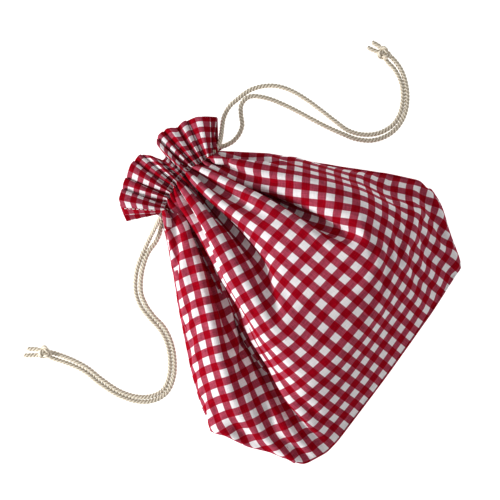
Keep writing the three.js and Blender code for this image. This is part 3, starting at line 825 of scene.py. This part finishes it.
def base_leaf(name, low, high, material):
    """One leaf of the base, folded up inside along the bottom crease."""
    share, inward = np.meshgrid(np.linspace(0.2, 0.9, 60), np.linspace(0, 1, 14))
    crease = np.array(CREASE, float)
    u = crease[0, 0] + (crease[-1, 0] - crease[0, 0]) * share
    x, y = (np.interp(u, crease[:, 0], crease[:, k]) for k in (1, 2))
    depth = BASE_LEAF_DEPTH * inward
    z = low + (high - low) * inward + BASE_LEAF_RIPPLE * np.sin(share * 40) * inward
    points = np.stack([x, y + BASE_LEAF_INSET + depth, z], axis=-1)
    return cloth_object(name, u, depth, points, material)


CASING_MOUTHS = {"left": ((-27, -1.5, 9.5), math.radians(190)), "right": ((27, 2.0, 9.5), math.radians(15))}
MOUTH_LENGTH = 7.0
MOUTH_RADIUS, MOUTH_WAIST, MOUTH_PUCKER = 4.4, 1.3, 0.7
MOUTH_PUCKERS = 5
MOUTH_GIRTH = 6.5               # cloth for each radian round the mouth


def casing_mouth(side, material):
    """The puckered end of the casing that the cords come out of."""
    centre, heading = CASING_MOUTHS[side]
    turn, along = np.meshgrid(np.linspace(0, 2 * math.pi, 41), np.linspace(0, 1, 12))
    pucker = MOUTH_PUCKER * np.sin(MOUTH_PUCKERS * turn + 4 * along) * (0.4 + along)
    radius = MOUTH_RADIUS - MOUTH_WAIST * np.sin(math.pi * along) + pucker
    forward, across = level_axes(heading)
    points = (np.array(centre) + (along * MOUTH_LENGTH)[..., None] * forward
              + (radius * 0.85 * np.cos(turn))[..., None] * across
              + (radius * 1.5 * np.sin(turn))[..., None] * (0.0, 0.0, 1.0))
    return cloth_object(f"{side}_casing_mouth", turn * MOUTH_GIRTH, along * MOUTH_LENGTH, points, material)


# ---------------------------------------------------------------- materials

class Tree:
    """Short names for building a node tree."""

    def __init__(self, tree):
        self.tree = tree

    def node(self, kind, **values):
        made = self.tree.nodes.new(kind)
        for key, value in values.items():
            setattr(made, key, value)
        return made

    def link(self, source, target):
        if isinstance(source, tuple):
            target.default_value = (*source, 1.0)
        elif isinstance(source, (int, float)):
            target.default_value = source
        else:
            self.tree.links.new(source, target)

    def math(self, operation, a, b=0.0, c=0.0, clamp=False):
        made = self.node("ShaderNodeMath", operation=operation, use_clamp=clamp)
        for socket, value in zip(made.inputs, (a, b, c)):
            self.link(value, socket)
        return made.outputs[0]

    def mix(self, share, a, b, blend="MIX"):
        made = self.node("ShaderNodeMix", data_type="RGBA", blend_type=blend)
        self.link(share, made.inputs[0])
        self.link(a, made.inputs[6])
        self.link(b, made.inputs[7])
        return made.outputs[2]

    def attribute(self, name):
        split = self.node("ShaderNodeSeparateXYZ")
        self.link(self.node("ShaderNodeAttribute", attribute_name=name).outputs["Vector"], split.inputs[0])
        return split.outputs

    def noise(self, vector, scale, detail):
        made = self.node("ShaderNodeTexNoise")
        made.inputs["Scale"].default_value = scale
        made.inputs["Detail"].default_value = detail
        self.link(vector, made.inputs["Vector"])
        return made.outputs["Fac"]

    def combine(self, x, y, z):
        made = self.node("ShaderNodeCombineXYZ")
        for socket, value in zip(made.inputs, (x, y, z)):
            self.link(value, socket)
        return made.outputs[0]

    def bump(self, height, strength, distance):
        made = self.node("ShaderNodeBump")
        made.inputs["Strength"].default_value = strength
        made.inputs["Distance"].default_value = distance
        self.link(height, made.inputs["Height"])
        return made.outputs[0]


def new_material(name, **values):
    """A material, its node tree and its shader, with the shader's plain values set."""
    material = bpy.data.materials.new(name)
    material.use_nodes = True
    shader = material.node_tree.nodes["Principled BSDF"]
    for key, value in values.items():
        shader.inputs[key.replace("_", " ")].default_value = value
    return material, Tree(material.node_tree), shader


CRIMSON = (0.33, 0.0005, 0.013)
PINK = (0.40, 0.074, 0.116)
WHITE = (0.84, 0.80, 0.815)
DYED_FLECK = (0.34, 0.02, 0.05)
FLECK_SHARE = 0.30
YARNS_PER_CHECK = 16
CHECK_EDGE_SHARPNESS = 16.0
SLUB_ACROSS, SLUB_ALONG = 7.0, 0.9  # uneven yarns: long streaks in the yarn's own direction

# the last of these is painted shade for the grooves between the strands, not a colour of the cotton
CORD_PALE, CORD_TAN, CORD_GROOVE_SHADE = (0.97, 0.92, 0.80), (0.84, 0.75, 0.60), (0.30, 0.20, 0.10)
THREAD_DARK, THREAD_PALE = (0.62, 0.50, 0.50), (0.90, 0.84, 0.83)


def gingham():
    """Yarn-dyed check: crimson where both yarns are dyed, white where neither is, pink where one is."""
    material, t, shader = new_material("gingham_cotton", Roughness=0.92, Specular_IOR_Level=0.08)
    u, v, _ = t.attribute("weave")
    yarns = []
    for along, across in ((u, v), (v, u)):
        wave = t.math("PINGPONG", along, 1.0)
        edge = t.math("MULTIPLY_ADD", t.math("SUBTRACT", wave, 0.5), CHECK_EDGE_SHARPNESS, 0.5, clamp=True)
        streak = t.math("MULTIPLY", along, SLUB_ACROSS), t.math("MULTIPLY", across, SLUB_ALONG)
        yarns.append((edge, t.noise(t.combine(*streak, 0.0), 1.0, 4.0)))
    (warp, warp_slub), (weft, weft_slub) = yarns
    both = t.math("MULTIPLY", warp, weft)
    either = t.math("MAXIMUM", warp, weft)
    colour = t.mix(both, t.mix(either, WHITE, PINK), CRIMSON)
    # single yarns: the dyed ones show as fine flecks in the pink checks
    warp_yarn, weft_yarn = (t.math("SINE", t.math("MULTIPLY", along, 2 * math.pi * YARNS_PER_CHECK))
                            for along in (u, v))
    crossing = t.math("MULTIPLY", warp_yarn, weft_yarn)
    half_dyed = t.math("SUBTRACT", either, both)
    fleck = t.math("MULTIPLY", t.math("MULTIPLY_ADD", crossing, 0.5, 0.5), half_dyed)
    colour = t.mix(t.math("MULTIPLY", fleck, FLECK_SHARE), colour, DYED_FLECK)
    slub = t.math("ADD", warp_slub, weft_slub)
    unevenness = t.math("MULTIPLY_ADD", either, 0.75, 0.25)
    shade = t.math("MULTIPLY_ADD", t.math("SUBTRACT", slub, 1.0), unevenness, 1.0)
    t.link(t.mix(1.0, colour, t.combine(shade, shade, shade), blend="MULTIPLY"), shader.inputs["Base Color"])
    relief = t.math("MULTIPLY_ADD", slub, 0.8, crossing)
    t.link(t.bump(relief, 0.35, 0.00008), shader.inputs["Normal"])
    return material


def cotton_cord():
    """Pale twisted cotton, with painted shade darkening the grooves between its strands."""
    material, t, shader = new_material("cotton_cord", Roughness=0.85, Specular_IOR_Level=0.3,
                                       Sheen_Weight=0.25)
    length, angle, groove = t.attribute("fibre")
    yarns = t.math("SINE", t.math("ADD", t.math("MULTIPLY", length, 9.0), t.math("MULTIPLY", angle, 6.0)))
    fuzz = t.noise(t.combine(length, angle, groove), 6.0, 4.0)
    # painted shade: the deeper a point lies in a groove, the nearer its colour goes to the dark groove shade
    shade = t.math("MULTIPLY", t.math("POWER", groove, 1.5), 0.9)
    t.link(t.mix(shade, t.mix(fuzz, CORD_TAN, CORD_PALE), CORD_GROOVE_SHADE), shader.inputs["Base Color"])
    relief = t.math("MULTIPLY_ADD", fuzz, 1.5, yarns)
    t.link(t.bump(relief, 0.5, 0.00012), shader.inputs["Normal"])
    return material


def sewing_thread():
    material, t, shader = new_material("sewing_thread", Roughness=0.7, Specular_IOR_Level=0.3)
    fuzz = t.noise(t.node("ShaderNodeTexCoord").outputs["Object"], 2500.0, 3.0)
    t.link(t.mix(fuzz, THREAD_DARK, THREAD_PALE), shader.inputs["Base Color"])
    t.link(t.bump(fuzz, 0.4, 0.00005), shader.inputs["Normal"])
    return material


# ---------------------------------------------------------------- studio

FLOOR_REACH, FLOOR_Z = 3.0, -0.0002     # in metres
FLOOR_GREY = (0.62, 0.62, 0.62, 1.0)
FLOOR_GLOW = 0.74
SKY_STRENGTH = 0.44
PLAIN_WHITE = (1.0, 1.0, 1.0, 1.0)
KEY_FROM, KEY_TO = (-980, 560, 370), (0, -90, 0)
KEY_POWER, KEY_SIZE = 12.5, 0.3


def add_floor():
    """A light table: pale and faintly lit from below, so that shadows on it stay soft."""
    material, _, _ = new_material("studio_floor", Base_Color=FLOOR_GREY, Roughness=0.95,
                                  Emission_Color=PLAIN_WHITE, Emission_Strength=FLOOR_GLOW)
    corners = [(FLOOR_REACH * x, FLOOR_REACH * y, 0) for x, y in ((-1, -1), (1, -1), (1, 1), (-1, 1))]
    mesh = bpy.data.meshes.new("floor")
    mesh.from_pydata(corners, [], [(0, 1, 2, 3)])
    mesh.materials.append(material)
    floor = link_object("floor", mesh)
    floor.location.z = FLOOR_Z


def add_key_light():
    """One low light from the left of the mouth, which gives the folds their long soft shadows."""
    data = bpy.data.lights.new("key", "AREA")
    data.energy = KEY_POWER
    data.size = KEY_SIZE
    light = link_object("key", data)
    light.location = place(KEY_FROM)
    light.rotation_euler = Vector(place(KEY_TO) - place(KEY_FROM)).to_track_quat("-Z", "Y").to_euler()


def add_studio():
    add_floor()
    world = bpy.data.worlds.new("studio")
    world.use_nodes = True
    sky = world.node_tree.nodes["Background"]
    sky.inputs["Color"].default_value = PLAIN_WHITE
    sky.inputs["Strength"].default_value = SKY_STRENGTH
    bpy.context.scene.world = world
    add_key_light()
    bpy.context.scene.view_settings.view_transform = "Standard"
    bpy.context.scene.view_settings.look = "Medium High Contrast"


# ---------------------------------------------------------------- the pouch

add_camera()
cord_material = cotton_cord()
for side_name, cord_y in (("left", LEFT_CORD_Y), ("right", RIGHT_CORD_Y)):
    add_cord(side_name, cord_material)
    add_inner_loop(side_name, cord_y, cord_material)

cloth_material = gingham()
thread_material = sewing_thread()

front_u, front_v, front = fine_cloth(front_cloth(), RUFFLE_TIPS, FRONT_PLEATS)
front_piece = cloth_object("front_cloth", front_u, front_v, front, cloth_material)
dress(front_piece, "gingham_cotton", "front_panel", "front_casing", "front_header",
      "front_header_left_hem", "front_header_right_hem", lifts=True)

back_u, back_v, back = fine_cloth(back_cloth(), BACK_TIPS, BACK_PLEATS)
back_piece = cloth_object("back_cloth", back_u, back_v, back, cloth_material)
dress(back_piece, "gingham_cotton", "back_panel", "back_casing", "back_header",
      "back_header_left_hem", "back_header_right_hem")

casing_u = np.linspace(-HALF_WIDTH, HALF_WIDTH, 900)
hem_v = np.linspace(CORD_LINE + 8, CLOTH_LENGTH - 1, 80)
for half, cloth in (("front", front), ("back", back)):
    lifting = half == "front"
    for row_name, offset in CASING_ROWS.items():
        stitches = stitching(f"{half}_casing_{row_name}_stitches", cloth, casing_u,
                             np.full_like(casing_u, CORD_LINE + offset), thread_material, above=-1.0)
        dress(stitches, "sewing_thread", f"{half}_casing_{row_name}_stitching", lifts=lifting)
    for side_name, side in SIDES.items():
        hem_u = np.full_like(hem_v, side * (HALF_WIDTH - HEM_ALLOWANCE))
        stitches = stitching(f"{half}_header_{side_name}_hem_stitches", cloth, hem_u, hem_v, thread_material)
        dress(stitches, "sewing_thread", f"{half}_header_{side_name}_hem_stitching", lifts=lifting)

SEAM_TOP = CORD_LINE - 14       # the side edges end here, where the gathers pull the seams inside
for side_name, side in SIDES.items():
    corner = CORNER_CELLS[side] * CELL
    depth = HALF_WIDTH - corner
    seam_v = np.linspace(depth, SEAM_TOP, 160)
    seam_u = np.full_like(seam_v, side * HALF_WIDTH)
    edge = joining_edge(f"{side_name}_side_edge", front, back, seam_u, seam_v, cloth_material)
    dress(edge, "gingham_cotton", f"{side_name}_side_seam")
    fold_v = np.linspace(0.0, depth, 50)
    fold_u = side * (corner + fold_v)
    edge = joining_edge(f"{side_name}_corner_edge", front, back, fold_u, fold_v, cloth_material)
    dress(edge, "gingham_cotton", f"{side_name}_corner_seam")
crease_u = np.linspace(-CORNER_CELLS[-1] * CELL, CORNER_CELLS[1] * CELL, 200)
edge = joining_edge("bottom_edge", front, back, crease_u, np.zeros_like(crease_u), cloth_material)
dress(edge, "gingham_cotton", "bottom_seam")
dress(base_leaf("front_leaf", 3.0, 6.5, cloth_material), "gingham_cotton", "front_base_leaf")
dress(base_leaf("back_leaf", 1.7, 5.0, cloth_material), "gingham_cotton", "back_base_leaf")
for side_name in SIDES:
    dress(casing_mouth(side_name, cloth_material), "gingham_cotton")

add_studio()
